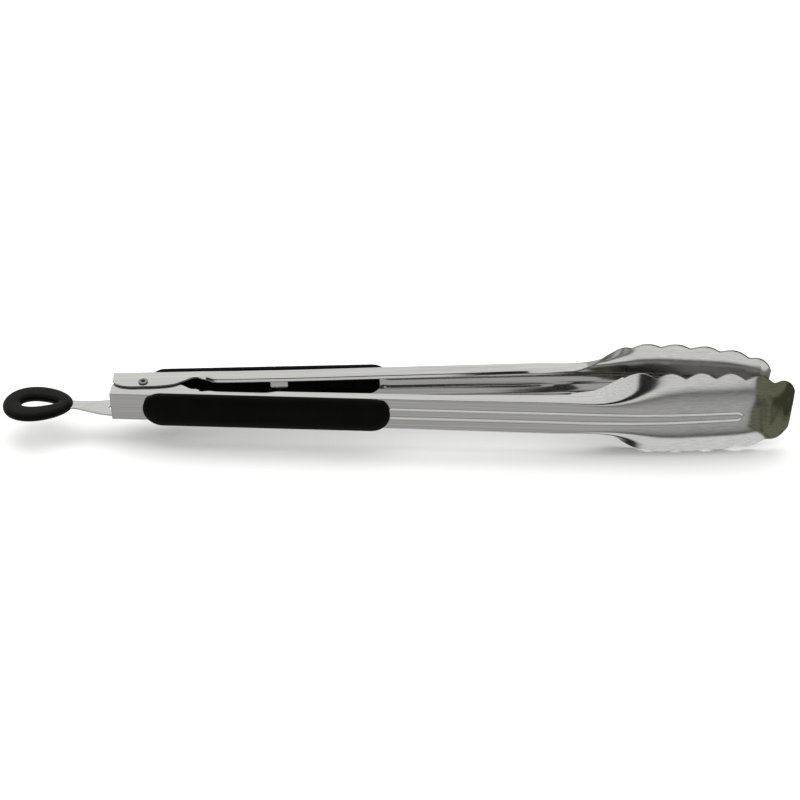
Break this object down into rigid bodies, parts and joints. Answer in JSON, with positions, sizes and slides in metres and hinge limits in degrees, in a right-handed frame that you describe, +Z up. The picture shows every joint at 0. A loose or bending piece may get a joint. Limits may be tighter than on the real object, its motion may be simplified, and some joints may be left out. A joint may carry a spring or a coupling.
{
  "type": "kitchen tongs",
  "caption": "Spring loaded scalloped steel kitchen tongs with rubber grips, a rivet pivot and a sliding wedge lock with a pull loop.",
  "frame": {"origin": "below the centre of the bounding box, on the plane the tongs lie on; they lie on their side, locked nearly closed", "axes": "+X from the pull loop to the scalloped heads, +Y from the inner arm to the outer arm, +Z up along the rivet"},
  "size_m": [0.4737, 0.045, 0.0576],
  "materials": {
    "outer_arm_steel": "polished stainless sheet",
    "inner_arm_steel": "polished stainless sheet",
    "outer_grip_rubber": "soft matt black",
    "inner_grip_rubber": "soft matt black",
    "outer_liner_rubber": "matt black",
    "inner_liner_rubber": "matt black",
    "rivet_steel": "satin",
    "sleeve_nylon": "natural nylon",
    "washer_nylon": "natural nylon",
    "spring_wire": "drawn spring wire",
    "lock_plate_steel": "satin stainless",
    "loop_plastic": "moulded black"
  },
  "bodies": {
    "inner_side": {"inner_arm": "inner_arm_steel", "inner_grip": "inner_grip_rubber", "inner_liner": "inner_liner_rubber"},
    "outer_side": {"outer_arm": "outer_arm_steel", "outer_grip": "outer_grip_rubber", "outer_liner": "outer_liner_rubber"},
    "pivot": {"pivot_rivet": "rivet_steel", "spring_sleeve": "sleeve_nylon", "thrust_washer": "washer_nylon", "torsion_spring": "spring_wire"},
    "lock": {"lock_plate": "lock_plate_steel", "pull_loop": "loop_plastic"}
  },
  "joints": [
    {"name": "arm_hinge", "type": "hinge", "parent": "inner_side", "child": "outer_side", "pos_m": [-0.15063, 0, 0.028], "axis": [0, 0, 1], "range_deg": [-3, 28.4], "deforming": ["torsion_spring"]},
    {"name": "pivot_turn", "type": "hinge", "parent": "inner_side", "child": "pivot", "pos_m": [-0.15063, 0, 0.028], "axis": [0, 0, 1], "range_deg": [-1.5, 14.2]},
    {"name": "lock_slide", "type": "slide", "parent": "pivot", "child": "lock", "axis": [1, 0, 0], "range_m": [-0.0021, 0.0199]}
  ],
  "couplings": [
    {"joint": "pivot_turn", "follows": "arm_hinge", "ratio": 0.5},
    {"joint": "lock_slide", "follows": "arm_hinge", "m_per_rad": 0.03995}
  ]
}
